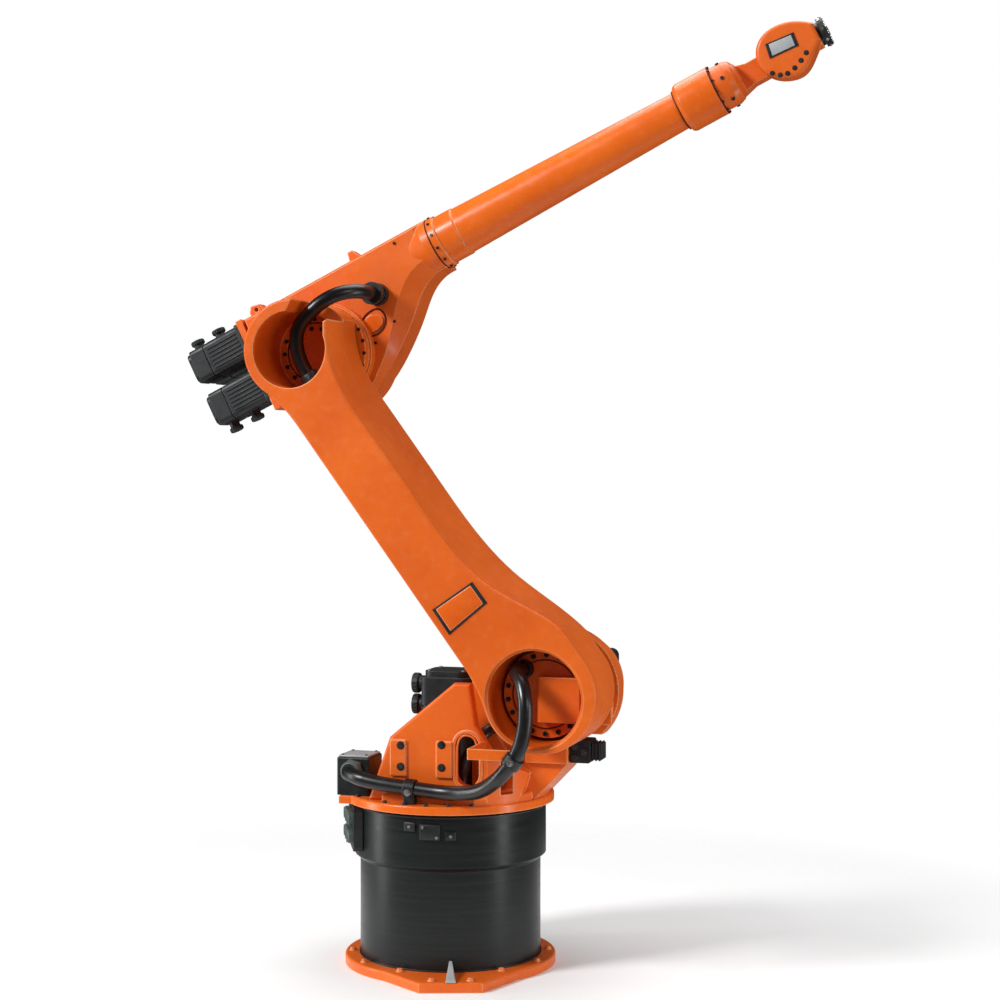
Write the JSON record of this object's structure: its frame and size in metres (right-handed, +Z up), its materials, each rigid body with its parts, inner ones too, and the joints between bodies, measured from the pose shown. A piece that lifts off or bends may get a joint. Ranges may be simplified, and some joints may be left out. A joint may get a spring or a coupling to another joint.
{
  "type": "six-axis industrial robot arm",
  "caption": "Floor-mounted jointed robot arm: round black pedestal, turning orange column, cast link arm, long tapered forearm and slim wrist with a tool flange.",
  "frame": {"origin": "on the floor at the underside of the base plate, on the vertical first axis", "axes": "+Z up along the first axis, +X the way the arm points in its rest pose, +Y away from the side that carries the link arm"},
  "size_m": [1.9492, 0.7968, 2.6993],
  "materials": {
    "orange_paint": "satin orange paint on castings",
    "black_paint": "satin black paint",
    "motor_black": "matte black paint",
    "black_hose": "smooth semi gloss protective hose",
    "black_plastic": "moulded",
    "buffer_rubber": "matte",
    "steel": "dark machined steel"
  },
  "bodies": {
    "base": {"base_plate": "orange_paint", "base_drum": "black_paint", "connector_panel": "black_paint"},
    "column": {"turntable": "orange_paint", "column_casting": "orange_paint", "stop_bar": "orange_paint", "stop_buffer": "buffer_rubber", "a1_motor": "motor_black", "a2_motor": "motor_black", "a2_hub": "orange_paint", "a2_cover": "orange_paint", "cable_box": "black_paint", "lower_hose": "black_hose", "lower_hose_fitting": "black_plastic", "front_clamp": "black_plastic", "rear_clamp": "black_plastic", "hose_bracket": "orange_paint", "short_hose": "black_hose"},
    "link_arm": {"link_arm": "orange_paint", "a2_gear": "orange_paint"},
    "forearm": {"a3_hub": "orange_paint", "a3_gear": "orange_paint", "arm_housing": "orange_paint", "motor_plate": "orange_paint", "lifting_eye": "orange_paint", "front_lug": "orange_paint", "a3_motor": "motor_black", "a4_motor": "motor_black", "a5_motor": "motor_black", "a6_motor": "motor_black", "upper_hose": "black_hose", "upper_hose_fitting": "black_plastic", "tube_flange": "orange_paint", "forearm_tube": "orange_paint", "wrist_collar": "orange_paint"},
    "wrist_roll": {"roll_housing": "orange_paint"},
    "wrist_pitch": {"wrist_head": "orange_paint"},
    "tool": {"tool_flange": "steel"}
  },
  "joints": [
    {"name": "a1_turn", "type": "hinge", "parent": "base", "child": "column", "pos_m": [0, 0, 0.475], "axis": [0, 0, 1], "range_deg": [-185, 185]},
    {"name": "a2_link", "type": "hinge", "parent": "column", "child": "link_arm", "pos_m": [0.35, 0, 0.815], "axis": [0, 1, 0], "range_deg": [-8.5, 161.5]},
    {"name": "a3_forearm", "type": "hinge", "parent": "link_arm", "child": "forearm", "pos_m": [-0.36379, 0, 1.77963], "axis": [0, -1, 0], "range_deg": [-57.7, 220.3], "deforming": ["upper_hose"]},
    {"name": "a4_roll", "type": "hinge", "parent": "forearm", "child": "wrist_roll", "pos_m": [0.95846, 0, 2.59186], "axis": [0.8973, 0, 0.4415], "range_deg": [-350, 350]},
    {"name": "a5_pitch", "type": "hinge", "parent": "wrist_roll", "child": "wrist_pitch", "pos_m": [0.95846, 0, 2.59186], "axis": [0, -1, 0], "range_deg": [-130, 130]},
    {"name": "a6_tool", "type": "hinge", "parent": "wrist_pitch", "child": "tool", "pos_m": [1.10023, 0, 2.66161], "axis": [0.8973, 0, 0.4415], "range_deg": [-350, 350]}
  ]
}
